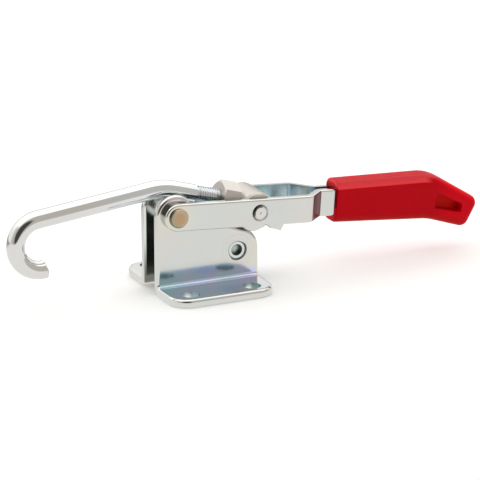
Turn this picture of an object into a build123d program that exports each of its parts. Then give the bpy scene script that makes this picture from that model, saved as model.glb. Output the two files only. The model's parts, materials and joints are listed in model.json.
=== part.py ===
from build123d import *
from math import asin, cos, degrees, radians, sin, tan
import os

# Over-centre toggle latch with a bent draw hook, shown closed.
# Millimetres, +Z up. X runs along the pull: hook at -X, grip at +X. Y = 0 is the middle plane.
# Origin: centre of the four bolt holes, on the underside of the flanges.

# --- Side plates: two folded steel brackets ---
plate_t = 4.0               # sheet thickness
plate_length = 52.0         # along X
channel = 11.0              # clear width between the two uprights
flange_reach = 22.5         # outer face of an upright to the edge of its flange
flange_corner_r = 9.5
plate_bend_r = 1.5          # inside radius of the fold
ear_r = 9.7                 # rounded ear round the handle pivot
rear_corner_r = 10.4        # rounded corner round the tie rivet
shoulder_fall = 20.0        # degrees, slope of the edge between ear and rear corner
shoulder_fillet_r = 5.0
plate_edge_r = 1.7          # cut edges, rounded by tumbling
bolt_hole_d = 8.5           # clears M8
bolt_pitch_x = 31.0
bolt_pitch_y = 49.0

# --- Handle pivot ---
pivot_z = 37.5              # height of the pivot over the mounting face
pivot_d = 9.0
pivot_stand = 1.2           # how far each end stands out of the handle plates
pivot_chamfer = 0.4
sleeve_d = 12.0             # distance sleeve between the uprights, and the seat of the hook rod
washer_d = 13.0
washer_t = 0.6

# --- Tie rivet at the rear ---
tie_back = 0.7              # axis short of the rear corner's centre
tie_d = 7.0
tie_spacer_d = 12.0
tie_bore_d = 5.4            # blind bore of each semi-tubular end
tie_bore_deep = 2.4
tie_flare_d = 8.0           # rolled-out lip
tie_flare_h = 0.7
tie_sink = 0.5              # lip below the face of the plate
tie_seat_extra = 0.45       # countersink wider than the lip, on the radius

# --- Handle plates ---
handle_t = 3.0
handle_height = 13.0
handle_fall = 3.7           # degrees below level when closed
link = 41.5                 # handle pivot to hook pivot
boss_at = 38.5              # handle pivot to the middle of the swelling under the plate
boss_r = 7.6
boss_drop = 1.2
neck_bend_at = 68.0         # pivot to the first fold of the neck
neck_bend = 45.0            # degrees
neck_bend_r = 2.0           # inside radius
tang_end = 132.0            # pivot to the end of the tang
tang_corner_r = 3.0
tang_gap = 3.4              # clear width between the two tangs
lug_start = 45.9            # pivot to the tooth under the plate
lug_heel = (1.2, 1.3)       # from its start, and below the plate
lug_point = (7.1, 2.9)
lug_length = 8.5
notch_r = 0.6               # relief notch before the tooth
notch_before = 1.1
handle_edge_r = 0.9         # outer edges
tang_rivet_d = 5.0
tang_rivet_at = (97.0, 122.0)
tang_head_d = 7.4
tang_head_h = 1.2

# --- Trunnion: the cross piece that carries the hook ---
trunnion_d = 18.0
stub_d = 6.5
stub_stand = 0.5            # past the outer face of the handle plate
stub_chamfer = 0.4
stub_sink = 0.8             # countersink round the stub, wide and deep
trunnion_chamfer = 0.8
nut_seat = 8.2              # hook pivot to the flat under the lock nut
bore_lift = 1.2             # thread axis over the hook pivot
trunnion_gap = 0.6          # trunnion to the side plates, closed

# --- Lock nut, M8 ---
nut_across_flats = 15.2
nut_height = 9.0
nut_turn = 41.0             # degrees, where tightening left it
nut_chamfer = 30.0          # degrees

# --- Draw hook: one bent bar ---
rod_d = 8.5                 # the plated bar, a little over its thread
thread_pitch_d = 7.2        # plain cylinder that stands for the M8 thread
thread_length = 42.5
rod_tail = 13.0             # rod end past the hook pivot
hump_bend_r = 28.0
shank_fall = 6.85           # degrees, shank falls towards the hook
shank_length = 56.5         # straight between the two bends
hook_r = 12.1               # centre line of the hook
hook_sweep = 185.0          # degrees
rod_end_chamfer = 0.7

# --- Grip: moulded plastic ---
grip_t = 12.5
grip_start = 84.6           # pivot to the mouth
grip_mouth_top, grip_mouth_foot = 10.3, 10.0    # over and under the middle of the handle plates
grip_crest = 136.5          # pivot to where the end turns down
grip_crest_top, grip_belly = 11.4, 11.4
grip_end_drop = 28.4        # degrees, slope of the turned-down end
grip_end_length = 30.8      # crest to the tip
grip_tip_h = 15.2           # height of the end face
grip_tip_lean = 26.0        # degrees, the end face leans in at the bottom
grip_crest_r = 22.0
grip_belly_before = 0.5     # corner of the underside short of the crest
grip_belly_r = 30.0
grip_tip_r = 4.2
grip_edge_r = 3.8           # rounding along the grip
grip_mouth_r = 1.2
slot_after = 1.8            # crest to the hanging slot
slot_length = 15.0
slot_tall, slot_low = 8.25, 4.35
slot_drop = 9.15            # top corner of the slot below the crest
slot_lean, slot_low_lean = 0.4, 0.3     # how far the ends lean back, at the crest and at the tip
slot_floor_fall = 10.8      # degrees
slot_corner_r = 1.2
slot_web = 1.2              # skin left in the middle of the hanging slot

# --- Fits ---
run_clear = 0.05            # on the radius, and at each side of a washer or trunnion
rest_clear = 0.05           # hook rod over its sleeve, closed

# --- Modelling ---
past = 1.0                  # how far a cutter runs past the face that it opens
tiny = 1e-3                 # reach when an edge or corner is picked by its place
on_foot = (Align.CENTER, Align.CENTER, Align.MIN)

# --- Places that follow from the sizes ---
upright_in = channel / 2
upright_out = upright_in + plate_t
handle_in = upright_out + washer_t + 2 * run_clear
handle_out = handle_in + handle_t
tang_in = tang_gap / 2
tang_out = tang_in + handle_t
pivot_x = ear_r - plate_length / 2
rear_x = plate_length / 2 - rear_corner_r
tie_x = rear_x - tie_back
hook_pivot_x = pivot_x + link * cos(radians(handle_fall))
hook_pivot_z = pivot_z - link * sin(radians(handle_fall))
shoulder_sin, shoulder_cos = sin(radians(shoulder_fall)), cos(radians(shoulder_fall))
shoulder_off = trunnion_d / 2 + trunnion_gap
rear_z = hook_pivot_z - (shoulder_off + rear_corner_r
                         - (hook_pivot_x - rear_x) * shoulder_sin) / shoulder_cos
seat_r = (sleeve_d + rod_d) / 2 + rest_clear
rod_lean = asin((seat_r - bore_lift) / link)
rod_rise = degrees(rod_lean) + handle_fall
rod_run = link * cos(rod_lean)

handle_place = Pos(pivot_x, 0, pivot_z) * Rot(0, handle_fall, 0)
hook_pivot = Vector(hook_pivot_x, 0, hook_pivot_z)
rod_dir = Vector(-cos(radians(rod_rise)), 0, sin(radians(rod_rise)))
rod_up = Vector(sin(radians(rod_rise)), 0, cos(radians(rod_rise)))
rod_foot = hook_pivot + rod_up * bore_lift
rod_plane = Plane(origin=rod_foot, x_dir=(0, 1, 0), z_dir=rod_dir)


def across(radius, length, x=0.0, z=0.0, y=0.0):
    """Cylinder along Y, centred on y."""
    return Pos(x, y, z) * Rot(90, 0, 0) * Cylinder(radius, length)


def slab(sketch, y_low, y_high):
    """Sketch drawn in X and Z, given thickness between two Y values."""
    return extrude(Plane.XZ.offset(-y_low) * sketch, amount=y_high - y_low, dir=(0, 1, 0))


def ring(outer_d, inner_d, length, x, z, y=0.0):
    return across(outer_d / 2, length, x, z, y) - across(inner_d / 2, length + past, x, z, y)


def far_side(shape):
    return mirror(shape, about=Plane.XZ)


def rim(faces):
    """Outline of several joined faces: the edges that only one of them has."""
    edges = [edge for face in faces for edge in face.edges()]
    return [edge for edge in edges if edges.count(edge) == 1]


def upright_outline():
    """Side view of a bracket: ear, sloping shoulder and rounded rear corner."""
    half = plate_length / 2
    tangent_x = rear_x + rear_corner_r * shoulder_sin
    tangent_z = rear_z + rear_corner_r * shoulder_cos
    shoulder_z = tangent_z + (tangent_x - pivot_x) * shoulder_sin / shoulder_cos
    body = Polygon((-half, 0), (half, 0), (half, rear_z), (rear_x, rear_z), (tangent_x, tangent_z),
                   (pivot_x, shoulder_z), (pivot_x, pivot_z), (-half, pivot_z), align=None)
    outline = body + Pos(rear_x, rear_z) * Circle(rear_corner_r) + Pos(pivot_x, pivot_z) * Circle(ear_r)
    notch = [v for v in outline.vertices() if v.X > pivot_x + ear_r / 2 and v.Y > tangent_z + tiny]
    return fillet(notch, shoulder_fillet_r)


def folded_section():
    """Section across X of the near bracket: upright, round fold and flange."""
    top, edge = pivot_z + ear_r, upright_out + flange_reach
    section = Polygon((-upright_in, 0), (-upright_in, top), (-upright_out, top),
                      (-upright_out, plate_t), (-edge, plate_t), (-edge, 0), align=None)
    inside, outside = (-upright_out, plate_t, 0), (-upright_in, 0, 0)
    section = fillet(section.vertices().sort_by_distance(inside)[0], plate_bend_r)
    return fillet(section.vertices().sort_by_distance(outside)[0], plate_bend_r + plate_t)


def near_side_plate():
    length, edge = plate_length, upright_out + flange_reach
    plate = extrude(Plane.YZ.offset(-length / 2) * folded_section(), amount=length, dir=(1, 0, 0))
    plate &= slab(upright_outline(), -edge - past, 0)
    corners = [e for e in plate.edges().filter_by(Axis.Z) if abs(e.center().Y + edge) < tiny]
    plate = fillet(corners, flange_corner_r)
    cut_faces = [f for f in plate.faces() if any(abs(e.length - plate_t) < tiny for e in f.edges())]
    plate = fillet(rim(cut_faces), plate_edge_r)
    plate -= across(pivot_d / 2 + run_clear, 3 * edge, pivot_x, pivot_z)
    plate -= across(tie_d / 2, 3 * edge, tie_x, rear_z)
    plate -= tie_end(extra=tie_seat_extra, over=tie_sink + past)
    for x in (-bolt_pitch_x / 2, bolt_pitch_x / 2):
        plate -= Pos(x, -bolt_pitch_y / 2, plate_t / 2) * Cylinder(bolt_hole_d / 2, plate_t + past)
    return plate


def tie_end(extra=0.0, over=0.0):
    """Flared lip of the tie rivet on the near side, or the countersink for it."""
    lip = upright_out - tie_sink
    cone = Pos(tie_x, -lip + tie_flare_h / 2, rear_z) * Rot(90, 0, 0) * Cone(
        tie_d / 2 + extra, tie_flare_d / 2 + extra, tie_flare_h)
    if over:
        cone += across(tie_flare_d / 2 + extra, over, tie_x, rear_z, -lip - over / 2)
    return cone


def tie_rivet():
    half = upright_out - tie_sink
    rivet = across(tie_d / 2, 2 * half, tie_x, rear_z)
    rivet += tie_end()
    rivet += far_side(tie_end())
    for side in (-1, 1):
        rivet -= across(tie_bore_d / 2, 2 * tie_bore_deep, tie_x, rear_z, side * half)
    return rivet


def pivot_pin():
    pin = across(pivot_d / 2, 2 * (handle_out + pivot_stand), pivot_x, pivot_z)
    return chamfer(pin.edges().filter_by(GeomType.CIRCLE), pivot_chamfer)


def plate_plan():
    """Handle plate seen from above, drawn with X along the plate and Y across it."""
    turn = tan(radians(neck_bend / 2)) * handle_t / 2
    run = (handle_in - tang_in) / tan(radians(neck_bend))
    start, first, second = -handle_height, neck_bend_at, neck_bend_at + run
    tight, wide = neck_bend_r, neck_bend_r + handle_t
    outer = FilletPolyline((start, -handle_out), (first + turn, -handle_out), (second + turn, -tang_out),
                           (tang_end, -tang_out), radius=[wide, tight])
    inner = FilletPolyline((start, -handle_in), (first - turn, -handle_in), (second - turn, -tang_in),
                           (tang_end, -tang_in), radius=[tight, wide])
    ends = [Line((start, -handle_out), (start, -handle_in)),
            Line((tang_end, -tang_out), (tang_end, -tang_in))]
    return make_face([*outer.edges(), *inner.edges(), *ends])


def plate_side():
    """Handle plate seen from the side: round end, swelling, tooth and tang."""
    half = handle_height / 2
    shape = Circle(half) + Pos(tang_end / 2, 0) * Rectangle(tang_end, handle_height)
    shape += Pos(boss_at, -boss_drop) * Circle(boss_r)
    lug_end = lug_start + lug_length
    shape += Polygon((lug_start, 0), (lug_start, -half), (lug_start + lug_heel[0], -half - lug_heel[1]),
                     (lug_start + lug_point[0], -half - lug_point[1]), (lug_end, -half), (lug_end, 0),
                     align=None)
    shape -= Pos(lug_start - notch_before, -half) * Circle(notch_r)
    ends = [v for v in shape.vertices() if abs(v.X - tang_end) < tiny]
    return fillet(ends, tang_corner_r)


def near_handle_plate():
    plate = extrude(plate_plan(), amount=2 * handle_height, both=True)
    plate &= slab(plate_side(), -handle_out - past, past)
    skin = [f for f in plate.faces() if f.normal_at(f.center()).Y < -tiny]
    plate = fillet(rim(skin), handle_edge_r)
    plate -= across(pivot_d / 2, 4 * handle_out)
    plate -= stub_hole()
    for at in tang_rivet_at:
        plate -= tang_rivet(at)
    return handle_place * plate


def stub_hole():
    """Bearing hole for a trunnion stub, countersunk on the outside."""
    hole_r, reach = stub_d / 2 + run_clear, stub_sink + past
    sink = Pos(link, reach / 2 - handle_out - past, 0) * Rot(90, 0, 0) * Cone(
        hole_r, hole_r + reach, reach)
    return sink + across(hole_r, 4 * handle_out, link)


def tang_rivet(at):
    rivet = across(tang_rivet_d / 2, 2 * tang_out, at)
    head = Cone(tang_rivet_d / 2, tang_head_d / 2, tang_head_h)
    rivet += Pos(at, -tang_out + tang_head_h / 2, 0) * Rot(90, 0, 0) * head
    rivet += Pos(at, tang_out - tang_head_h / 2, 0) * Rot(-90, 0, 0) * head
    return rivet


def grip_outline():
    """Side view of the grip: it widens to the crest, then its end turns down."""
    drop, lean = radians(grip_end_drop), radians(grip_tip_lean)
    crest, belly = (grip_crest, grip_crest_top), (grip_crest - grip_belly_before, -grip_belly)
    nose = (grip_crest + grip_end_length * cos(drop), grip_crest_top - grip_end_length * sin(drop))
    chin = (nose[0] - grip_tip_h * sin(lean), nose[1] - grip_tip_h * cos(lean))
    shape = Polygon((grip_start, grip_mouth_top), crest, nose, chin, belly,
                    (grip_start, -grip_mouth_foot), align=None)
    for point, radius in ((crest, grip_crest_r), (nose, grip_tip_r), (chin, grip_tip_r),
                          (belly, grip_belly_r)):
        shape = fillet(shape.vertices().sort_by_distance((*point, 0))[0], radius)
    return shape


def slot_outline():
    """Hanging slot, which follows the turned-down end."""
    left, right = grip_crest + slot_after, grip_crest + slot_after + slot_length
    top = grip_crest_top - slot_drop
    floor = top - slot_tall
    floor_right = floor - slot_length * tan(radians(slot_floor_fall))
    shape = Polygon((left + slot_lean, top), (right + slot_low_lean, floor_right + slot_low),
                    (right, floor_right), (left, floor), align=None)
    return fillet(shape.vertices(), slot_corner_r)


def grip():
    body = slab(grip_outline(), -grip_t / 2, grip_t / 2)
    rails = [e for e in body.edges() if abs(abs(e.center().Y) - grip_t / 2) < tiny
             and e.center().X > grip_start + tiny]
    body = fillet(rails, grip_edge_r)
    mouth = body.faces().sort_by(Axis.X)[0]
    body = fillet(mouth.edges(), grip_mouth_r)
    tang_length = tang_end - grip_start + past
    for side in (-1, 1):
        body -= Pos(tang_end - tang_length / 2, side * (tang_in + tang_out) / 2) * Box(
            tang_length, handle_t, handle_height)
        low, high = sorted((side * slot_web / 2, side * grip_t))
        body -= slab(slot_outline(), low, high)
    for at in tang_rivet_at:
        body -= across(tang_rivet_d / 2, tang_in + tang_out, at)
    return handle_place * body


def trunnion():
    half = handle_in - run_clear
    body = across(trunnion_d / 2, 2 * half)
    body = chamfer(body.edges().filter_by(GeomType.CIRCLE), trunnion_chamfer)
    stubs = across(stub_d / 2, 2 * (handle_out + stub_stand))
    stubs = chamfer(stubs.edges().filter_by(GeomType.CIRCLE), stub_chamfer)
    body = (body + stubs).moved(Location(hook_pivot))
    body -= rod_plane * Pos(0, 0, nut_seat) * Box(4 * half, 2 * trunnion_d, trunnion_d, align=on_foot)
    return body - rod_plane * Cylinder(thread_pitch_d / 2, 3 * trunnion_d)


def lock_nut():
    """Hexagon with its corners turned off at both ends."""
    flat_r = nut_across_flats / 2
    corner_r = flat_r / cos(radians(30))
    rise = (corner_r - flat_r) * tan(radians(nut_chamfer))
    turned = Cylinder(corner_r, nut_height, align=on_foot)
    turned = chamfer(turned.edges().filter_by(GeomType.CIRCLE), rise, corner_r - flat_r)
    nut = extrude(RegularPolygon(corner_r, 6), amount=nut_height) & turned
    nut -= Cylinder(thread_pitch_d / 2, 3 * nut_height)
    return rod_plane * Pos(0, 0, nut_seat) * Rot(0, 0, nut_turn) * nut


def draw_hook():
    """Threaded rod, hump over the pivot sleeve, straight shank and round hook."""
    split = rod_foot + rod_dir * (thread_length - rod_tail)
    bend = rod_foot + rod_dir * rod_run
    straight = Line((split.X, split.Z), (bend.X, bend.Z))
    hump = JernArc(straight @ 1, straight % 1, hump_bend_r, rod_rise + shank_fall)
    shank = Line(hump @ 1, (hump @ 1) + (hump % 1) * shank_length)
    hook = JernArc(shank @ 1, shank % 1, hook_r, hook_sweep)
    path = Plane.XZ * Wire([straight, hump, shank, hook])
    section = Plane(origin=split, x_dir=(0, 1, 0), z_dir=rod_dir) * Circle(rod_d / 2)
    bar = sweep(section, path=path)
    tip = bar.faces().filter_by(GeomType.PLANE).sort_by_distance(path @ 1)[0]
    bar = chamfer(tip.edges(), rod_end_chamfer)
    return bar + rod_plane * Pos(0, 0, -rod_tail) * threaded_end()


def threaded_end():
    """Plain cylinder of the pitch diameter, with its foot chamfered."""
    thread = Cylinder(thread_pitch_d / 2, thread_length, align=on_foot)
    foot = thread.edges().filter_by(GeomType.CIRCLE).sort_by(Axis.Z)[0]
    return chamfer(foot, rod_end_chamfer)


def parts():
    near, near_handle = near_side_plate(), near_handle_plate()
    washer_y = upright_out + run_clear + washer_t / 2
    bore_d = pivot_d + 2 * run_clear
    washer = ring(washer_d, bore_d, washer_t, pivot_x, pivot_z, -washer_y)
    return {
        "near_side_plate": near,
        "far_side_plate": far_side(near),
        "pivot_sleeve": ring(sleeve_d, bore_d, channel, pivot_x, pivot_z),
        "tie_spacer": ring(tie_spacer_d, tie_d, channel, tie_x, rear_z),
        "tie_rivet": tie_rivet(),
        "near_washer": washer,
        "far_washer": far_side(washer),
        "near_handle_plate": near_handle,
        "far_handle_plate": far_side(near_handle),
        "pivot_pin": pivot_pin(),
        "front_tang_rivet": handle_place * tang_rivet(tang_rivet_at[0]),
        "rear_tang_rivet": handle_place * tang_rivet(tang_rivet_at[1]),
        "grip": grip(),
        "trunnion": trunnion(),
        "lock_nut": lock_nut(),
        "draw_hook": draw_hook(),
    }


os.makedirs("parts", exist_ok=True)
for name, shape in parts().items():
    export_step(shape, f"parts/{name}.step")
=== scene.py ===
# %% [markdown]
# # Over centre toggle latch
# A pull latch in bright zinc-plated steel with a red moulded grip. The CAD model gives every
# piece its real size and place, so this file adds what CAD leaves out: the finishes, the fine
# thread on the bar, the light and the camera. Everything is in metres.

# %% Load the frame
import bpy
import json
from math import asin, atan2, cos, degrees, radians, sin
from mathutils import Matrix, Vector


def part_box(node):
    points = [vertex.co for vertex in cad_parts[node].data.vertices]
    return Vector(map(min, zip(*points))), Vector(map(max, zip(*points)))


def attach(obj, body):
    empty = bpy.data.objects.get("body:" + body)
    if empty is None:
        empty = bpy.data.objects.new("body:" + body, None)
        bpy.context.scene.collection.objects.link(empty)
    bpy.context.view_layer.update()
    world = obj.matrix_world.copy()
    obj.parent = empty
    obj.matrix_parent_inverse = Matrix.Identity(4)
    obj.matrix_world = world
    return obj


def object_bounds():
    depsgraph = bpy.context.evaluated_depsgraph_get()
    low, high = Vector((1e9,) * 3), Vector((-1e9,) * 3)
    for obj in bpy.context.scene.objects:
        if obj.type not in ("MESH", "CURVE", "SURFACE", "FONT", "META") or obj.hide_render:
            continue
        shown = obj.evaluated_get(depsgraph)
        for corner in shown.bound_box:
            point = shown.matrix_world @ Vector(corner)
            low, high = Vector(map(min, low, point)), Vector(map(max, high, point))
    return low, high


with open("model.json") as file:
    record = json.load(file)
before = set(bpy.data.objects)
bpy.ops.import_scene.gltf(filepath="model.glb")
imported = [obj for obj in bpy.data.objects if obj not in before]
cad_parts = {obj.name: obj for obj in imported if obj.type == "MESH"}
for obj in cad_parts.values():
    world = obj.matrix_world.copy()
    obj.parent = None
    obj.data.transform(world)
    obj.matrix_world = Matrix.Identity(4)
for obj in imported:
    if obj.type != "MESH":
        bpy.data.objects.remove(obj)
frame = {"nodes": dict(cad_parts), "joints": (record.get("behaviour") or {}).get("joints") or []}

cad_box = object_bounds()
nodes = frame["nodes"]
mm = 0.001
micron = 1e-6
print("CAD nodes:", ", ".join(sorted(nodes)))

# %% [markdown]
# ## Places worked out from the frame
# The lever turns on one axis and the hook on another. The bar runs from the hook's axis up to
# its seat on the sleeve, so its slope follows from those two points, the radius of the sleeve,
# the radius of the bar and how high the thread lies over its axis. The slope could be typed in
# as a number, but worked out it stays right when a size of the model changes.

# %% Axes and the slope of the bar
joints = {joint["name"]: Vector(joint["pos_m"]) for joint in frame["joints"]}
lever_axis = joints["handle_hinge"]
hook_axis = joints["hook_hinge"]
tie_low, tie_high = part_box("tie_rivet")
tie_axis = (tie_low + tie_high) / 2


def size(node):
    """Length of a node along X, Y and Z."""
    low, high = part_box(node)
    return high - low


thread_lift = 1.2 * mm      # the thread's axis over the hook's axis
seat_gap = 0.05 * mm        # the bar over its sleeve, closed
bar_radius = size("draw_hook").y / 2
sleeve_radius = size("pivot_sleeve").x / 2
link = hook_axis - lever_axis
lever_fall = atan2(-link.z, link.x)
seat_rise = sleeve_radius + bar_radius + seat_gap - thread_lift
bar_rise = lever_fall + asin(seat_rise / link.length)
bar_up = Vector((sin(bar_rise), 0, cos(bar_rise)))
bar_along = Vector((-cos(bar_rise), 0, sin(bar_rise)))
bar_foot = hook_axis + bar_up * thread_lift
print(f"bar rises {degrees(bar_rise):.2f} degrees, lever falls {degrees(lever_fall):.2f} degrees")

# %% [markdown]
# ## Camera
# The latch is looked at from the front left and a little above. A camera could be pushed about
# by hand until the view is right, but as a direction, a distance and a lens the view is the same
# on each run. The lens is long and the camera far away, so that parallel edges stay nearly
# parallel, as in a catalogue picture.

# %% Camera
view_azimuth = radians(-24.951)
view_elevation = radians(17.499)
view_distance = 1.33042
view_target = Vector((0.02077, 0, 0.01846))
towards_camera = Vector((sin(view_azimuth) * cos(view_elevation),
                         -cos(view_azimuth) * cos(view_elevation), sin(view_elevation)))

camera_data = bpy.data.cameras.new("camera")
camera_data.lens = 212.27
camera_data.sensor_width = 36
camera_data.clip_end = 50
camera = bpy.data.objects.new("camera", camera_data)
camera.location = view_target + towards_camera * view_distance
camera.rotation_euler = towards_camera.to_track_quat("Z", "Y").to_euler()
bpy.context.scene.collection.objects.link(camera)
bpy.context.scene.camera = camera
bpy.context.scene.view_settings.view_transform = "Standard"
print(f"camera: {view_distance:.2f} m away, {camera_data.lens:.0f} mm lens, "
      f"{degrees(view_elevation):.1f} degrees above the table")

# %% [markdown]
# ## Shader tools
# A finish could be wired by hand in the shader editor, but the same few steps come back in every
# one of them, so they are written once. `Value` wraps one output socket, so that shader maths
# reads like Python: `1 - mask * 0.5` adds the Math nodes by itself. `Tree` makes every other node
# with one method, `node`, which sets a node's settings first and then its sockets. `Finish` is a
# tree with a surface: `layer` lays one colour over another through a mask, as films, scuffs and
# wear lie on a real surface.

# %% Values with operators
class Value:
    """One output socket of a shader tree, with Python's operators."""

    def __init__(self, tree, socket):
        self.tree = tree
        self.socket = socket

    def maths(self, operation, *others):
        return self.tree.node("ShaderNodeMath", {"operation": operation}, dict(enumerate(others)))

    def __add__(self, other):
        return self.maths("ADD", self, other)

    def __sub__(self, other):
        return self.maths("SUBTRACT", self, other)

    def __rsub__(self, other):
        return self.maths("SUBTRACT", other, self)

    def __mul__(self, other):
        return self.maths("MULTIPLY", self, other)

    def __pow__(self, other):
        return self.maths("POWER", self, other)

    def __abs__(self):
        return self.maths("ABSOLUTE", self)

    __radd__ = __add__
    __rmul__ = __mul__

    def sign(self):
        return self.maths("SIGN", self)

    def over(self, other):
        """The larger of two values: two masks joined, or a number kept from going lower."""
        return self.maths("MAXIMUM", self, other)


print("values: + - * ** abs, sign and over")


# %% Node trees
class Tree:
    """The nodes of one material, or of the world."""

    def __init__(self, owner):
        owner.use_nodes = True
        self.nodes = owner.node_tree.nodes
        self.links = owner.node_tree.links
        self.nodes.clear()

    def connect(self, value, socket):
        if isinstance(value, Value):
            self.links.new(value.socket, socket)
        else:
            socket.default_value = value

    def node(self, kind, settings=None, sockets=None, out=0):
        made = self.nodes.new(kind)
        for name, setting in (settings or {}).items():
            setattr(made, name, setting)
        for name, value in (sockets or {}).items():
            self.connect(value, made.inputs[name])
        return Value(self, made.outputs[out]) if len(made.outputs) else made

    def step(self, value, low, high, start=0.0, end=1.0):
        """Smooth change from start to end while value goes from low to high.

        Low may be the larger of the two: the mask is then 1 below and 0 above.
        """
        return self.node("ShaderNodeMapRange", {"interpolation_type": "SMOOTHSTEP"},
                         {0: value, 1: low, 2: high, 3: start, 4: end})

    def mix(self, factor, first, second):
        """The first colour where the factor is 0, and the second where it is 1."""
        first, second = [(*colour, 1) if isinstance(colour, tuple) else colour
                         for colour in (first, second)]
        return self.node("ShaderNodeMix", {"data_type": "RGBA"},
                         {0: factor, 6: first, 7: second}, out=2)

    def parts(self, vector):
        """The three numbers of a vector."""
        return [self.node("ShaderNodeSeparateXYZ", None, {0: vector}, out=axis)
                for axis in range(3)]

    def vector(self, x, y, z):
        return self.node("ShaderNodeCombineXYZ", None, {0: x, 1: y, 2: z})


print("tree: node, step, mix, parts and vector")


# %% Finishes
class Finish(Tree):
    """A material that takes its patterns from Object coordinates and feeds its surface."""

    def __init__(self, name, **constants):
        self.material = bpy.data.materials.new(name)
        super().__init__(self.material)
        self.surface = self.nodes.new("ShaderNodeBsdfPrincipled")
        output = self.nodes.new("ShaderNodeOutputMaterial")
        self.links.new(self.surface.outputs[0], output.inputs[0])
        for socket, number in constants.items():
            self.surface.inputs[socket.replace("_", " ")].default_value = number
        self.place = self.node("ShaderNodeTexCoord", out="Object")
        self.facing = self.node("ShaderNodeTexCoord", out="Normal")

    def noise(self, scale, detail=2.0, roughness=0.5, at=None):
        """Soft clouds; the scale is in changes per metre."""
        return self.node("ShaderNodeTexNoise", None,
                         {"Vector": at or self.place, "Scale": scale,
                          "Detail": detail, "Roughness": roughness})

    def streaks(self, along, across, axis, detail=3.0):
        """Clouds drawn out along one axis; `along` and `across` are changes per metre."""
        scale = [across, across, across]
        scale[axis] = along
        drawn = self.node("ShaderNodeMapping", None, {"Vector": self.place, "Scale": scale})
        return self.noise(1.0, detail, roughness=0.6, at=drawn)

    def feed(self, socket, value):
        self.connect(value, self.surface.inputs[socket])

    def colour(self, value):
        self.skin = value
        self.feed("Base Color", value)

    def layer(self, mask, colour):
        """Lay a colour over the present one where the mask is 1."""
        self.colour(self.mix(mask, self.skin, colour))

    def relief(self, *heights):
        """Bump from pairs of (height, depth in metres)."""
        total = heights[0][0] * heights[0][1]
        for height, depth in heights[1:]:
            total = total + height * depth
        self.feed("Normal", self.node("ShaderNodeBump", None, {"Height": total, "Distance": 1.0}))

    def put_on(self, *names):
        for name in names:
            materials = nodes[name].data.materials
            materials.clear()
            materials.append(self.material)
        print(f"{self.material.name}, {len(self.nodes)} nodes, on {', '.join(names)}")


def shaded(colour, amount):
    """The whole colour darker, or lighter if the amount is over 1."""
    return tuple(amount * part for part in colour)


def tinted(colour, tint):
    """The colour with its red, green and blue each changed by an amount of its own."""
    return tuple(part * amount for part, amount in zip(colour, tint))


print("finish: noise, streaks, layer, relief and put_on")

# %% [markdown]
# ## Studio
# Bright metal shows the room more than it shows itself, so the room is built first. A long soft
# light hangs over the latch and a little behind it. The wall behind is white and the wall in
# front is a warm grey. All this could be made of panels and lamps, but here the world holds it
# as soft regions of the sky, because a sky needs no placing and leaves no noise. A direction in
# the sky is a vector, so a wall is a range of its Y, and the light is a range of angle round X.

# %% Walls and the long light
sky = bpy.context.scene.world or bpy.data.worlds.new("studio")
bpy.context.scene.world = sky
room = Tree(sky)
x, y, z = room.parts(room.node("ShaderNodeTexCoord", out="Generated"))

front_wall = (0.62, 0.59, 0.54)
back_wall = (1.10, 1.09, 1.07)
lamp_glow = (1.50, 1.50, 1.48)
lamp_tilt = radians(16.5)           # from straight overhead towards the back wall
lamp_half_width = radians(43.5)
lamp_edge = radians(4)
lamp_full_to, lamp_ends = 0.62, 0.80
front_wall_ends, back_wall_starts = -0.30, 0.25

walls = room.mix(room.step(y, front_wall_ends, back_wall_starts), front_wall, back_wall)
across_sky = (y * y + z * z) ** 0.5
towards_lamp = (y * sin(lamp_tilt) + z * cos(lamp_tilt)) * (across_sky + 0.001) ** -1
lamp = room.step(towards_lamp, cos(lamp_half_width + lamp_edge), cos(lamp_half_width - lamp_edge))
lamp = lamp * room.step(abs(x), lamp_ends, lamp_full_to)
lit = room.mix(lamp, walls, lamp_glow)
print(f"light: {2 * degrees(lamp_half_width):.0f} degrees wide, "
      f"tilted back by {degrees(lamp_tilt):.1f} degrees")

# %% [markdown]
# ## Black cards
# Polished metal is lit with black cards beside the lamps, and their reflections are the dark
# lines that make a bar look round. A card could be a black plane in the scene, but then it would
# stand in the way of other views. Here each card is a round dark region of the sky, one in front
# of the latch and a softer one behind it.

# %% Black cards
card_black = (0.07, 0.07, 0.07)
card_at = Vector((-0.402, -0.865, 0.301)).normalized()
front_card, front_card_edge = radians(22), radians(33)
back_card, back_card_edge = radians(24), radians(34)
back_card_strength = 0.75

towards_card = x * card_at.x + y * card_at.y + z * card_at.z
front = room.step(towards_card, cos(front_card_edge), cos(front_card))
back = room.step(towards_card, -cos(back_card_edge), -cos(back_card), end=back_card_strength)
lit = room.mix(front.over(back), lit, card_black)

light = room.node("ShaderNodeBackground", None, {"Color": lit, "Strength": 1.0})
white = room.node("ShaderNodeBackground", None, {"Color": (1, 1, 1, 1), "Strength": 1.0})
seen = room.node("ShaderNodeLightPath", out="Is Camera Ray")
shown = room.node("ShaderNodeMixShader", None, {0: seen, 1: light, 2: white})
room.node("ShaderNodeOutputWorld", None, {"Surface": shown})
print(f"room: {len(room.nodes)} nodes, card in front {2 * degrees(front_card):.0f} degrees wide")

# %% [markdown]
# ## Table
# The latch stands on a sheet of white paper. A studio bends such a sheet up behind the object, to
# hide the horizon. Here the camera sees a sky as white as the paper, so a flat plane is enough.
# It ends a quarter of a metre in front of the latch, where low reflections pass over its edge
# and find the front wall.

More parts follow.
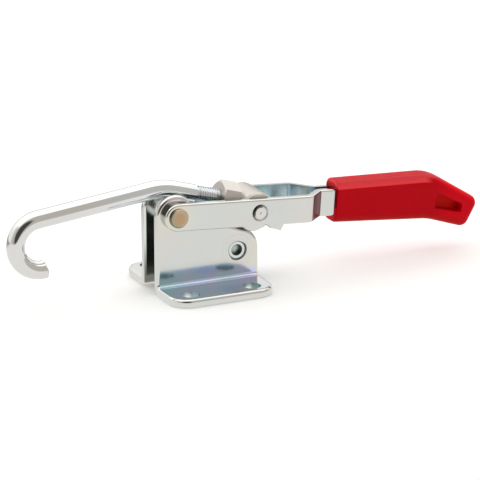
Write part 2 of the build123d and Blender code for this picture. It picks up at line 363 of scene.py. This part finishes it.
# %% The table
table_front, table_back, table_side = -0.26, 2.4, 2.4       # metres from the origin
table_drop = 0.0002         # under the flanges, so that the two never share a face
bpy.ops.object.select_all(action="DESELECT")
bpy.ops.mesh.primitive_plane_add(size=1)
table = bpy.context.object
table.name = "table"
table.scale = (2 * table_side, table_back - table_front, 1)
table.location = (0, (table_back + table_front) / 2, cad_box[0][2] - table_drop)
bpy.ops.object.transform_apply(location=True, rotation=False, scale=True)
print("table:", [round(side, 2) for side in table.dimensions], "m")

# %% [markdown]
# ## Paper
# White paint would do for the paper, but it would come out a pale grey, because it is lit at a
# plain level. More light would clip the metal, so rays from the camera find a little glow in the
# paper instead, and the shadow stays. Reflections are told apart from the rest: metal sees
# bright paper before the latch and a darker table behind it.

# %% Paper
paper = Finish("paper", Base_Color=(0.90, 0.90, 0.90, 1), Roughness=1.0, Specular_IOR_Level=0.0)
paper_glow = 0.14
near_paper, far_table = (1.00, 0.985, 0.965), (0.45, 0.45, 0.45)
near_paper_ends, far_table_starts = 0.06, 0.16      # metres behind the middle plane

glow = paper.node("ShaderNodeEmission", None, {"Color": (1, 1, 1, 1), "Strength": paper_glow})
nothing = paper.node("ShaderNodeEmission", None, {"Color": (0, 0, 0, 1), "Strength": 0.0})
seen = paper.node("ShaderNodeLightPath", out="Is Camera Ray")
extra = paper.node("ShaderNodeMixShader", None, {0: seen, 1: nothing, 2: glow})
painted = Value(paper, paper.surface.outputs[0])
both = paper.node("ShaderNodeAddShader", None, {0: painted, 1: extra})

behind = paper.step(paper.parts(paper.place)[1], near_paper_ends, far_table_starts)
sheen = paper.mix(behind, near_paper, far_table)
mirrored = paper.node("ShaderNodeEmission", None, {"Color": sheen, "Strength": 1.0})
glossy = paper.node("ShaderNodeLightPath", out="Is Glossy Ray")
seen_as = paper.node("ShaderNodeMixShader", None, {0: glossy, 1: both, 2: mirrored})
paper.links.new(seen_as.socket, paper.nodes["Material Output"].inputs[0])
table.data.materials.append(paper.material)
print("paper:", len(paper.nodes), "nodes")

# %% [markdown]
# ## Zinc-plated sheet
# The brackets and the lever plates are cold-rolled strip with bright zinc over it, sealed in a
# thin clear film. The film is uneven, so it tints the metal faintly blue, violet or straw in soft
# patches. Rolling leaves fine lines along the strip, and plating leaves a slightly watery surface
# that bends reflections. A picture of plated steel could be wrapped round the plates, but it
# would show seams and stretch over the folds. Noise that reads the place of each point does
# neither, and one function makes both sheets, because they come from one plating bath.

# %% Sheet finish
flat_angle_tint = (0.94, 0.98, 1.0)         # bare metal is bluer when seen at a flat angle
along_x, along_z = 0, 2


def plated_sheet(name, base, rough):
    metal = Finish(name, Metallic=1.0, Specular_Tint=(*flat_angle_tint, 1))
    film = metal.noise(38)
    blotches = metal.noise(95, detail=3.0, roughness=0.6)
    lines = metal.streaks(along=45, across=2600, axis=along_x)
    grain = metal.noise(5200)
    scuffs = metal.streaks(along=700, across=90, axis=along_z, detail=4)
    scuffs = metal.step(scuffs, 0.66, 0.74)

    cool = tinted(base, (0.95, 1.0, 1.02))
    violet = tinted(base, (1.00, 0.95, 1.01))
    straw = tinted(base, (1.03, 1.01, 0.95))
    colour = metal.mix(metal.step(film, 0.34, 0.52), cool, base)
    colour = metal.mix(metal.step(film, 0.52, 0.70), colour, straw)
    colour = metal.mix(metal.step(blotches, 0.55, 0.75) * 0.5, colour, violet)
    metal.colour(metal.mix(lines * 0.10, colour, shaded(base, 0.72)))

    metal.dullness = rough + lines * 0.05 + blotches * 0.04 + scuffs * 0.10
    metal.feed("Roughness", metal.dullness)
    watery = metal.noise(120, detail=1.0)
    metal.relief((watery, 22 * micron), (lines, 0.25 * micron), (grain, 0.12 * micron))
    return metal


bracket_grey, lever_grey = (0.68, 0.68, 0.655), (0.69, 0.685, 0.655)
bracket = plated_sheet("bracket_zinc", bracket_grey, rough=0.10)
bracket.put_on("near_side_plate", "far_side_plate", "tie_spacer")
lever = plated_sheet("lever_zinc", lever_grey, rough=0.11)
lever.put_on("near_handle_plate", "far_handle_plate")

# %% [markdown]
# ## Film pooled in the fold
# The clear film runs down while it dries and pools along the fold, where it is thickest and
# shows interference colours: blue, with violet and teal clouds. The pool could be painted on the
# mesh by hand. A soft mask of height, bent by slow noise, gives the same waterline and leaves
# every number open to change. It covers outer faces only, because the rim and the inner faces
# drain freely, and it is thinner at the rear end, where most of it has run off.

# %% Which way a face looks
def away_from_middle(metal):
    """How far a face looks away from the middle plane: 1 outwards, -1 inwards."""
    return metal.parts(metal.facing)[1] * metal.parts(metal.place)[1].sign()


x, y, z = bracket.parts(bracket.place)
tilt_x, _, tilt_z = bracket.parts(bracket.facing)
outer = bracket.step(away_from_middle(bracket), 0.5, 0.8)
inner = bracket.step(away_from_middle(bracket), -0.5, -0.8)
level = bracket.step(tilt_z, 0.6, 0.9)
print("masks on the brackets: outer faces, inner faces, level faces")

# %% Film in the fold
film_blue, film_violet, film_teal = (0.50, 0.63, 0.83), (0.60, 0.61, 0.84), (0.46, 0.68, 0.74)
pool_full, pool_ends = 12.0 * mm, 13.5 * mm     # over the mounting face
fold_full, fold_ends = 11 * mm, 13 * mm         # from the middle plane

cloud = bracket.noise(70, detail=3.0, roughness=0.6)
spill = z + cloud * 2.5 * mm + bracket.step(x, 8 * mm, 24 * mm, end=3 * mm)
flat_side = bracket.step(abs(tilt_x), 0.30, 0.05)
thin_end = bracket.step(x, 16 * mm, 20 * mm) * bracket.step(z, 6.5 * mm, 8.5 * mm)
pooled = bracket.step(spill, pool_ends, pool_full) * flat_side * (1 - thin_end * 0.6)

teal_front = bracket.step(x, -12 * mm, -22 * mm)
teal_rear = bracket.step(abs(x - 9 * mm), 8 * mm, 2 * mm) * 0.7
tint = bracket.mix(bracket.step(cloud, 0.45, 0.60) * 0.8, film_blue, film_violet)
tint = bracket.mix(teal_front.over(teal_rear) * 0.8, tint, film_teal)
fold = bracket.step(abs(y), fold_ends, fold_full)
bracket.layer(pooled * outer * fold, tint)
print(f"film pools below {pool_ends / mm:.1f} mm")

# %% [markdown]
# ## Thin film on the ear and the flanges
# The rounded ear at the top and the flat of the flanges keep a fainter tint, and one stretch
# along the rim of a flange, where the last drops hang, is bluer again. A second material on
# those faces would end in a hard line, so these too are soft masks in the same finish.

# %% Film on the ear and the flanges
ear_tint, flange_tint, rim_tint = (0.70, 0.65, 0.72), (0.66, 0.64, 0.74), (0.47, 0.54, 0.74)
ear_foot, ear_full = 41 * mm, 44 * mm           # over the mounting face
rim_starts, rim_full = 17 * mm, 23 * mm         # from the middle plane
rim_fades, rim_ends = 29 * mm, 31 * mm          # so that the bevelled edge stays bare

ear = bracket.step(z, ear_foot, ear_full)
bracket.layer(ear * outer * 0.6, ear_tint)
patch = bracket.step(bracket.noise(55), 0.46, 0.62)
bracket.layer(level * patch * 0.55, flange_tint)
rim = level * bracket.step(abs(y), rim_starts, rim_full) * bracket.step(x, -6 * mm, 6 * mm)
rim = rim * bracket.step(x, 20 * mm, 16 * mm) * bracket.step(abs(y), rim_ends, rim_fades)
bracket.layer(rim * 0.8, rim_tint)
print("bracket finish:", len(bracket.nodes), "nodes so far")

# %% [markdown]
# ## Bolt holes
# Plating is thin and dull inside a hole, where the current is weak, so a bore is a little rougher.
# Its colour is painted light and shade: each bore carries a painted light on its left, where it
# would mirror the paper, and painted shade on its right, bluish at the front holes and dark teal
# at the rear ones. The bores could be cut free and given a material of their own, but a CAD mesh
# is never changed here, so the mask is the distance from the nearest bolt's axis.

# %% Bore finish
# painted light on the left of each bore, painted shade on its right: bluish at the front, teal at
# the rear
painted_bore_light, painted_bore_shade_blue, painted_bore_shade_teal = (0.92, 0.98, 1.0), (0.32, 0.44, 0.50), (0.14, 0.30, 0.30)
bolt_x, bolt_y = 15.5 * mm, 24.5 * mm           # half of the bolt pattern
bore_skin, bore_edge = 4.35 * mm, 4.5 * mm      # from the bolt's axis
light_ends, shade_starts = 0.5 * mm, 2.4 * mm     # to the right of the bolt's axis

from_bolt = ((abs(x) - bolt_x) ** 2 + (abs(y) - bolt_y) ** 2) ** 0.5
bore = bracket.step(from_bolt, bore_edge, bore_skin) * (1 - level)
shaded_side = bracket.step(x - x.sign() * bolt_x, light_ends, shade_starts)
bore_shade = bracket.mix(bracket.step(x, -5 * mm, 5 * mm), painted_bore_shade_blue, painted_bore_shade_teal)
bracket.feed("Roughness", bracket.dullness + bore * 0.14)
bracket.layer(bore * 0.9, bracket.mix(shaded_side, painted_bore_light, bore_shade))
print(f"bores at x {bolt_x / mm:.1f} mm and y {bolt_y / mm:.1f} mm, both ways")

# %% [markdown]
# ## Seat of the tie rivet
# The hollow rivet is rolled over in a press. The tool leaves fine rings on the plate round the
# head, and the groove under the head's lip carries painted shade, most of it on the lower right.
# The rings could be turned as real grooves, but they are far finer than a mesh can hold, so noise
# that reads the distance from the rivet's axis draws them.

# %% Rivet seat
painted_groove_shade, ring_grey = (0.12, 0.135, 0.13), (0.45, 0.47, 0.45)
groove_in, groove_out = 4.05 * mm, 4.4 * mm     # from the rivet's axis, where it is darkest
rings_in, rings_out = 5.2 * mm, 7.5 * mm        # and where the rings are clearest
press_rings_per_metre = 2400

east, up = x - tie_axis.x, z - tie_axis.z
from_tie = (east ** 2 + up ** 2) ** 0.5
lower = bracket.step(east - up, -2 * mm, 2 * mm)
groove = bracket.step(from_tie, 3.9 * mm, groove_in)
groove = groove * bracket.step(from_tie - lower * 0.45 * mm, 4.6 * mm, groove_out)
# painted shade in the groove under the rivet's lip, most on the lower right
bracket.layer(groove * outer * (0.35 + lower * 0.6), painted_groove_shade)
ring_at = bracket.vector(from_tie * press_rings_per_metre, 0.0, 0.0)
rings = bracket.noise(1.0, roughness=0.7, at=ring_at)
rubbed = bracket.step(from_tie, 9.5 * mm, rings_out) * bracket.step(from_tie, 4.6 * mm, rings_in)
rubbed = rubbed * bracket.step(rings, 0.48, 0.62) * outer
bracket.layer(rubbed * 0.25, ring_grey)
print(f"rivet seat at x {tie_axis.x / mm:.1f} mm, z {tie_axis.z / mm:.1f} mm")

# %% [markdown]
# ## Inner faces
# The faces of the channel between the plates carry a painted reflection, pale green, of the plates
# in each other, and painted shade that darkens them towards the foot. The inner faces of the
# lever plates carry a painted reflection of each other in a watery teal. Each inner face could
# have a material of its own, but then its edge would be a hard line round every corner.

# %% Inner face finish
painted_channel_reflection, painted_channel_shade = (0.72, 0.77, 0.72), (0.11, 0.115, 0.10)
painted_reflection_teal, painted_reflection_teal_pale = (0.56, 0.73, 0.77), (0.72, 0.84, 0.88)
foot_full, foot_ends = 6 * mm, 26 * mm          # over the mounting face

# painted reflection on the channel's faces, with painted shade towards the foot
foot = bracket.mix(bracket.step(z, foot_ends, foot_full), painted_channel_reflection, painted_channel_shade)
bracket.layer(inner * 0.9, foot)
# painted reflection of the lever plates in each other, in watery teal
lever_inner = lever.step(away_from_middle(lever), -0.5, -0.8)
watery = lever.step(lever.noise(75), 0.40, 0.62)
lever.layer(lever_inner * 0.9, lever.mix(watery, painted_reflection_teal, painted_reflection_teal_pale))
print("inner faces: brackets", len(bracket.nodes), "nodes, levers", len(lever.nodes), "nodes")

# %% [markdown]
# ## A stained place and a painted reflection on the levers
# Grease creeps out from under the pin and leaves a straw-coloured halo round it. Where the
# plates bend inwards at the neck, the slope is painted a dark red as the reflection of the grip,
# and it is made duller than the rest. Both could be painted on by hand. The halo is a distance
# from the pin's axis, and the slope is found by the way it faces, so neither has to be painted
# again on the other plate.

# %% Halo and neck
halo_straw, painted_grip_reflection = (0.71, 0.70, 0.61), (0.27, 0.085, 0.095)
halo_full, halo_ends = 6.0 * mm, 9.5 * mm
neck_x = lever_axis.x + 68 * mm
slope_ahead = 4.5 * mm      # the middle of the slope past the first fold

x, y, z = lever.parts(lever.place)
from_pivot = ((x - lever_axis.x) ** 2 + (z - lever_axis.z) ** 2) ** 0.5
lever.layer(lever.step(from_pivot, halo_ends, halo_full) * 0.6, halo_straw)
# painted reflection of the grip on the slope of the neck
neck = lever.step(lever.parts(lever.facing)[0], 0.45, 0.60)
neck = neck * lever.step(abs(x - neck_x - slope_ahead), 7 * mm, 5.5 * mm)
lever.layer(neck, painted_grip_reflection)
lever.feed("Roughness", lever.dullness + neck * 0.14)
print(f"neck at x {neck_x / mm:.1f} mm,", len(lever.nodes), "nodes")

# %% [markdown]
# ## Bright bar
# The hook is bent from cold-drawn bar. Drawing leaves straight hair lines along the bar that
# follow its bends. They could follow a UV map, but CAD gives none. The bar lies in the middle
# plane, so a line along it keeps one distance from that plane, and noise that reads little but Y
# draws such lines round every bend. The zinc is cooler towards the thread, which hung lowest in
# the bath. On the thread the root carries painted shade, the upper flanks a painted dark
# reflection, and the underside a painted bluish shade.

# %% Where the thread is
thread_end = 29.7 * mm      # from the hook's axis
thread_fade = 0.4 * mm


def from_foot(metal):
    """The way from the foot of the bar, at the hook's axis, to a point of the surface."""
    return metal.node("ShaderNodeVectorMath", {"operation": "SUBTRACT"},
                      {0: metal.place, 1: tuple(bar_foot)})


def dot(metal, vector, direction):
    """How far a vector goes along a direction."""
    return metal.node("ShaderNodeVectorMath", {"operation": "DOT_PRODUCT"},
                      {0: vector, 1: tuple(direction)}, out="Value")


def from_bar_axis(metal):
    """Distance from the axis of the threaded end."""
    up = dot(metal, from_foot(metal), bar_up)
    side = metal.parts(from_foot(metal))[1]
    return (up * up + side * side) ** 0.5


def threaded(metal):
    """1 on the threaded end, 0 on the plain bar."""
    along = dot(metal, from_foot(metal), bar_along)
    return metal.step(along, thread_end, thread_end - thread_fade)


print(f"thread ends {thread_end / mm:.1f} mm from the hook's axis")

# %% Bar finish
bar_base, bar_cool = (0.74, 0.74, 0.73), (0.735, 0.765, 0.80)
hair_per_metre, drift_per_metre = 5200, 14      # across the bar, and along it
bar = Finish("bar_zinc", Metallic=1.0)

x, y, z = bar.parts(bar.place)
hair_at = bar.vector(x * drift_per_metre, y * hair_per_metre, z * drift_per_metre)
hair = bar.noise(1.0, detail=3.0, roughness=0.6, at=hair_at)
tone = bar.noise(60)
pits = bar.step(bar.noise(1500), 0.70, 0.78)
colour = bar.mix(tone, shaded(bar_base, 0.93), bar_base)
colour = bar.mix(hair * 0.12, colour, shaded(bar_base, 0.7))
colour = bar.mix(bar.step(x, -62 * mm, -30 * mm) * 0.8, colour, bar_cool)
bar.colour(colour)
print(f"bar: about {hair_per_metre * mm:.0f} hair lines to the millimetre")

# %% Thread finish
painted_shade_and_reflection, painted_underside_shade = (0.09, 0.125, 0.15), (0.48, 0.62, 0.72)
root_depth, root_ends = 3.62 * mm, 3.95 * mm
flank_depth, flank_ends = 3.80 * mm, 3.98 * mm

on_thread, depth = threaded(bar), from_bar_axis(bar)
# painted shade in the root of the thread, and a painted dark reflection on its upper flanks
root = bar.step(depth, root_depth, root_ends, start=1.0, end=0.0) * on_thread
flank = bar.step(depth, flank_depth, flank_ends, start=1.0, end=0.0) * on_thread
flank = flank * bar.step(y, -1.8 * mm, -0.3 * mm)
bar.layer((root * 0.14).over(flank * 0.9), painted_shade_and_reflection)
# painted bluish shade on the underside of the thread
underside = bar.step(bar.parts(bar.facing)[2], -0.05, -0.45) * on_thread
bar.layer(underside * 0.8, painted_underside_shade)
bar.feed("Roughness", 0.06 + hair * 0.05 + pits * 0.08 + root * 0.25)
bar.relief((bar.noise(90, detail=1.0), 12 * micron), (hair, 0.20 * micron), (pits, -1.0 * micron))
bar.put_on("draw_hook")

# %% [markdown]
# ## Turned pieces
# The trunnion, the nut, the pin, the sleeve, the washers and the rivets come off a lathe. A
# lathe tool leaves rings: round the side of a piece they lie at one height along its axis, and
# on an end face they lie at one distance from its centre. A Wave texture draws rings too, but
# all of one width. Noise that reads a single number gives rings of mixed widths, as a tool does,
# and the surface's own direction says which of the two numbers to read. One function serves
# every turned piece, which gives it its own centre and axis. The nut has the finest of these
# rings, the sleeve and the washers are the brightest, and the tang rivets sit plain in the
# grip's mouth.

# %% Turned finish
rings_per_metre = 1400


def turned(name, base, rough, centre, axis=(0, 1, 0), ring=rings_per_metre, ring_tone=0.25,
           cloud=0.12):
    """Turned metal: `ring_tone` is how dark its rings are, `cloud` how uneven its colour is."""
    metal = Finish(name, Metallic=1.0)
    offset = metal.node("ShaderNodeVectorMath", {"operation": "SUBTRACT"},
                        {0: metal.place, 1: tuple(centre)})
    height = dot(metal, offset, axis)
    length = metal.node("ShaderNodeVectorMath", {"operation": "LENGTH"}, {0: offset}, out="Value")
    radius = (length * length - height * height).over(0.0) ** 0.5
    end = metal.step(abs(dot(metal, metal.facing, axis)), 0.6, 0.8)
    ring_at = (height + (radius - height) * end) * ring
    rings = metal.noise(1.0, roughness=0.7, at=metal.vector(ring_at, 0.0, 0.0))
    patches = metal.noise(180, detail=3.0, roughness=0.6)
    specks = metal.step(metal.noise(2600), 0.66, 0.76)

    colour = metal.mix(patches, shaded(base, 1 - cloud), shaded(base, 1 + cloud / 2))
    colour = metal.mix(rings * ring_tone, colour, shaded(base, 0.6))
    metal.colour(metal.mix(specks * 0.35, colour, shaded(base, 0.45)))
    metal.feed("Roughness", rough + rings * 0.10 + patches * 0.06)
    metal.relief((rings, 1.2 * micron), (metal.noise(700), 2.0 * micron))
    metal.height, metal.radius, metal.offset = height, radius, metal.parts(offset)
    return metal


print(f"tool rings: about {rings_per_metre * mm:.1f} to the millimetre")

# %% Nut, sleeve, washers and tang rivets
nut_grey, sleeve_grey, tang_grey = (0.66, 0.62, 0.575), (0.66, 0.67, 0.66), (0.66, 0.65, 0.63)
nut = turned("nut_turned", nut_grey, rough=0.26, centre=bar_foot, axis=bar_along, ring=1800)
nut.put_on("lock_nut")
sleeve = turned("sleeve_turned", sleeve_grey, rough=0.16, centre=lever_axis)
sleeve.put_on("pivot_sleeve", "near_washer", "far_washer")
tang_rivet = turned("tang_rivet_turned", tang_grey, rough=0.25, centre=lever_axis)
tang_rivet.put_on("front_tang_rivet", "rear_tang_rivet")

# %% [markdown]
# ## Trunnion
# The trunnion is turned and left with a dull zinc that looks a little brown. Its two stubs show
# at the outside of the levers: each has a bright faced end, a small dimple from the centre drill,
# painted as a shaded spot, and a crescent of painted shade at the upper left of its end, where
# the gap round it lies in shade. The dimple could be cut into the mesh, but it is about a
# millimetre across and shallow, so a darker spot is enough.

# %% Trunnion finish
stub_bright, painted_dimple_shade, painted_gap_shade = (0.79, 0.785, 0.75), (0.55, 0.55, 0.52), (0.10, 0.10, 0.09)
trunnion_brown = (0.66, 0.615, 0.575)
face_starts, face_full = 12.4 * mm, 12.8 * mm   # from the middle plane
dimple_full, dimple_ends = 0.4 * mm, 0.9 * mm   # from the hook's axis
gap_shade_starts, gap_shade_full = 2.5 * mm, 2.8 * mm

trunnion = turned("trunnion_turned", trunnion_brown, rough=0.27, centre=hook_axis)
stub_face = trunnion.step(abs(trunnion.height), face_starts, face_full)
trunnion.layer(stub_face, stub_bright)
# a painted shaded spot stands for the centre-drill dimple
dimple = trunnion.step(trunnion.radius, dimple_ends, dimple_full)
trunnion.layer(stub_face * dimple, painted_dimple_shade)
east, _, up = trunnion.offset
# painted shade in a crescent at the upper left of each stub's end
gap_shade = trunnion.step(up - east, 0.6 * mm, 2.8 * mm)
gap_shade = gap_shade * trunnion.step(trunnion.radius, gap_shade_starts, gap_shade_full)
trunnion.layer(stub_face * gap_shade, painted_gap_shade)
trunnion.put_on("trunnion")

# %% [markdown]
# ## Pivot pin
# The pin has no head and isn't plated like the rest. Its end is rubbed bare by the press, so the
# steel shows a warm brown with strong rings. Its rim is paler, and painted shade darkens the left
# side of it, most at the edge. A dot of another material could stand for the shade, but shade has
# no edge, so it is a soft layer over the turned finish, in a range of distance from the axis.

# %% Pin finish
pin_brown = (0.62, 0.44, 0.27)
rim_pale, painted_rim_shade, painted_edge_shade = (0.62, 0.50, 0.36), (0.42, 0.385, 0.28), (0.20, 0.18, 0.125)
pale_starts, pale_full = 2.5 * mm, 3.0 * mm     # from the pin's axis
left_shade_starts, left_shade_full = 2.6 * mm, 3.1 * mm
edge_starts, edge_full = 3.9 * mm, 4.2 * mm

pin = turned("pin_turned", pin_brown, rough=0.30, centre=lever_axis,
             ring=1900, ring_tone=0.55, cloud=0.2)
east, _, up = pin.offset
# painted shade on the left side of the pin's end, darkest at its edge
left_shade = pin.step(east + up * 0.4, 0.8 * mm, -2.2 * mm)
pin.layer(pin.step(pin.radius, pale_starts, pale_full) * 0.5, rim_pale)
pin.layer(pin.step(pin.radius, left_shade_starts, left_shade_full) * left_shade * 0.8, painted_rim_shade)
pin.layer(pin.step(pin.radius, edge_starts, edge_full) * left_shade, painted_edge_shade)
pin.put_on("pivot_pin")

# %% [markdown]
# ## Tie rivet
# The tie rivet is hollow at both ends: its rolled lip is pale, the wall of its bore is dull and
# carries painted shade, and the bottom of the bore carries a painted light. Each of these could be
# a material of its own, but all of them follow from the distance to the axis, so rings of colour
# in one finish do the same, as on the pin.

# %% Tie rivet finish
tie_grey = (0.68, 0.69, 0.67)
lip_pale, bore_grey = (0.66, 0.72, 0.69), (0.42, 0.49, 0.47)
painted_wall_shade, painted_bottom_light = (0.15, 0.18, 0.17), (0.60, 0.68, 0.65)
lip_r, bore_r = 2.9 * mm, 2.6 * mm
wall_starts, wall_full = 1.6 * mm, 2.1 * mm
bottom_full, bottom_ends = 0.7 * mm, 1.3 * mm
tie_rough = 0.16

tie = turned("tie_rivet_turned", tie_grey, tie_rough, centre=tie_axis)
tie.layer(tie.step(tie.radius, bore_r, lip_r), lip_pale)
tie.layer(tie.step(tie.radius, lip_r, bore_r), bore_grey)
# painted shade on the wall of the bore
wall = tie.step(tie.radius, wall_starts, wall_full) * tie.step(tie.radius, lip_r, 2.7 * mm)
tie.layer(wall * 0.8, painted_wall_shade)
# painted light on the bottom of the bore
tie.layer(tie.step(tie.radius, bottom_ends, bottom_full) * 0.8, painted_bottom_light)
tie.feed("Roughness", tie_rough + tie.step(tie.radius, 3.0 * mm, bore_r) * 0.22)
tie.put_on("tie_rivet")

# %% [markdown]
# ## Moulded grip
# The grip is one moulding in deep red plastic. The mould has a fine spark-eroded texture, so the
# gloss is soft, and its two halves meet in the middle plane, where they leave a hair of flash.
# Texture that fine would need millions of faces, and so would the flash, so both are bump: the
# outline of the grip is untouched by them.

# %% Grip finish
grip_red, spark_red = (0.62, 0.002, 0.010), (0.36, 0.003, 0.006)
flash_full, flash_ends = 0.05 * mm, 0.16 * mm   # from the middle plane
plastic = Finish("grip_moulded", Specular_IOR_Level=0.05, IOR=1.5)

x, y, z = plastic.parts(plastic.place)
flow = plastic.noise(45, detail=3.0, roughness=0.6)
spark = plastic.noise(3600, detail=3.0, roughness=0.6)
rubbed = plastic.step(plastic.noise(160, detail=3.0, roughness=0.65), 0.52, 0.70)
flash = plastic.step(abs(y), flash_full, flash_ends, start=1.0, end=0.0)
colour = plastic.mix(flow, shaded(grip_red, 0.88), shaded(grip_red, 1.08))
plastic.colour(plastic.mix(spark * 0.10, colour, spark_red))
plastic.feed("Roughness", 0.36 + spark * 0.10 - rubbed * 0.10)
plastic.relief((spark, 5 * micron), (flow, 30 * micron), (flash, 40 * micron))
plastic.put_on("grip")

# %% [markdown]
# ## Painted highlight on the grip
# The rounded rails along the top carry a painted highlight, pale and pinkish, where they would
# mirror the light above. A painted mask could follow a rail by eye, but the rail is simply where
# the top turns over into the side, so the way the surface faces finds it. Before the crest the
# whole of the rounding carries it, and past it, where the grip slopes down, only the top of it.

# %% Painted highlight on the rails
painted_highlight_side, painted_highlight_top = (1.0, 0.062, 0.078), (0.66, 0.046, 0.058)
crest_starts, crest_ends = 116 * mm, 121 * mm

tilt_x, tilt_y, tilt_z = plastic.parts(plastic.facing)
past_crest = plastic.step(x, crest_starts, crest_ends)
rail_before, rail_after = plastic.step(tilt_z, 0.04, 0.12), plastic.step(tilt_z, 0.50, 0.72)
rail = plastic.mix(past_crest, rail_before, rail_after)
# painted highlight on the rounded rails along the top
rail_highlight = rail * plastic.step(tilt_z, 0.99, 0.94) * plastic.step(tilt_x, 0.60, 0.45)
plastic.layer(rail_highlight, plastic.mix(plastic.step(tilt_z, 0.2, 0.9), painted_highlight_side, painted_highlight_top))
print(f"crest of the grip at x {crest_starts / mm:.0f} to {crest_ends / mm:.0f} mm")

# %% [markdown]
# ## Mouth, tip, slot and underside of the grip
# Painted shade darkens the middle of the mouth, round the lever plates. The turned-down end carries
# a painted light that makes it the fullest red, brightest on top. The floor of the hanging slot is
# never touched and keeps a clear red, and the underside carries a painted shade, a little browner.
# These could be materials of their own, but colour changes softly over a moulding, so each is one
# more layer whose mask is made of place and direction.

# %% Mouth, tip, slot and underside
painted_mouth_shade, painted_tip_light, painted_tip_top_light = (0.10, 0.002, 0.003), (0.74, 0.0024, 0.013), (0.84, 0.003, 0.012)
slot_red, painted_under_shade = (0.84, 0.014, 0.010), (0.46, 0.012, 0.006)
mouth_top, mouth_foot = 41 * mm, 29 * mm        # over the mounting face
tip_starts, tip_full = 118 * mm, 132 * mm
web_half, web_ends = 4.6 * mm, 5.2 * mm         # from the middle plane

# painted shade in the middle of the mouth
mouth = plastic.step(tilt_x, -0.35, -0.75) * plastic.step(z, mouth_top, 38 * mm)
plastic.layer(mouth * plastic.step(z, mouth_foot, 31 * mm) * 0.85, painted_mouth_shade)
# painted light on the turned-down end, brightest on top
tip = plastic.step(x, tip_starts, tip_full)
plastic.layer(tip * 0.8, painted_tip_light)
plastic.layer(tip * plastic.step(tilt_z, 0.15, 0.55) * 0.8, painted_tip_top_light)
slot_floor = plastic.step(abs(tilt_y), 0.90, 0.97) * plastic.step(abs(y), web_ends, web_half)
plastic.layer(slot_floor, slot_red)
# painted shade on the underside
under = plastic.step(tilt_z, -0.10, -0.35)
plastic.layer(under * 0.6, painted_under_shade)
print("grip:", len(plastic.nodes), "nodes")

# %% [markdown]
# ## The thread on the bar
# The bar is threaded M8 with a pitch of 1.25 mm. CAD keeps a plain cylinder of the pitch
# diameter there. The thread could be a bump in the finish, but its crests show against the
# light, so it is real: one flat-topped V, a plane narrowed at one side, is turned into a helix
# by a Screw modifier. Its foot lies under the skin of the cylinder, and its crest stands a
# quarter of a millimetre lower than the plain bar. Each end of the ridge is closed by a face.

# %% Outline of the ridge
thread_foot_r, thread_crest_r = 3.50 * mm, 3.99 * mm
crest_width, base_width = 0.20 * mm, 0.72 * mm
thread_start = -12.5 * mm
reach = 0.01 * mm           # how near a corner lies to the crest to be picked

bpy.ops.object.select_all(action="DESELECT")
bpy.ops.mesh.primitive_plane_add(size=1, rotation=(radians(90), 0, 0),
                                 location=((thread_foot_r + thread_crest_r) / 2, 0, thread_start))
thread = bpy.context.object
thread.name = "bar_thread"
thread.scale = (thread_crest_r - thread_foot_r, base_width, 1)
bpy.ops.object.transform_apply(location=True, rotation=True, scale=True)
bpy.ops.object.mode_set(mode="EDIT")
bpy.ops.mesh.select_mode(type="VERT")
bpy.ops.mesh.delete(type="ONLY_FACE")
bpy.ops.mesh.select_all(action="DESELECT")
bpy.ops.object.mode_set(mode="OBJECT")
for vertex in thread.data.vertices:
    vertex.select = vertex.co.x > thread_crest_r - reach
bpy.ops.object.mode_set(mode="EDIT")
bpy.ops.transform.resize(value=(1, 1, crest_width / base_width))
bpy.ops.object.mode_set(mode="OBJECT")
print("outline:", [tuple(round(c / mm, 2) for c in vertex.co) for vertex in thread.data.vertices])

# %% Helix
pitch = 1.25 * mm
turns = int((thread_end - thread_start) / pitch)
steps_per_turn = 32

screw = thread.modifiers.new("screw", "SCREW")
screw.axis = "Z"
screw.steps = screw.render_steps = steps_per_turn
screw.iterations = turns
screw.screw_offset = pitch
screw.use_normal_calculate = True
bpy.ops.object.modifier_apply(modifier="screw")
print("thread:", turns, "turns,", len(thread.data.polygons), "faces")

# %% [markdown]
# ## Closing the ridge and laying it on the bar
# The Screw modifier leaves a hole at either end of the ridge. Any doubles are merged first, then
# each end gets a face, and only then are the normals set, because on an open mesh Blender would
# have to guess which side is out. The helix was made round Z at the origin, where it is easy to
# model, and is turned onto the bar at the end.

# %% Thread ends
merge_within = 1e-6
bpy.ops.object.mode_set(mode="EDIT")
bpy.ops.mesh.select_all(action="SELECT")
bpy.ops.mesh.remove_doubles(threshold=merge_within)
bpy.ops.mesh.select_all(action="DESELECT")
bpy.ops.mesh.select_non_manifold(extend=False)
bpy.ops.mesh.edge_face_add()
bpy.ops.mesh.select_all(action="SELECT")
bpy.ops.mesh.normals_make_consistent(inside=False)
bpy.ops.object.mode_set(mode="OBJECT")
print("thread closed:", len(thread.data.polygons), "faces")

# %% Thread on the bar
smooth_below = radians(35)
onto_bar = bar_along.to_track_quat("Z", "Y").to_matrix().to_4x4()
thread.matrix_world = Matrix.Translation(bar_foot) @ onto_bar
bpy.ops.object.transform_apply(location=True, rotation=True, scale=True)
bpy.ops.object.shade_smooth_by_angle(angle=smooth_below)
thread.data.materials.append(bar.material)
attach(thread, "hook")
print("thread:", [round(side / mm, 1) for side in thread.dimensions], "mm along X, Y and Z")
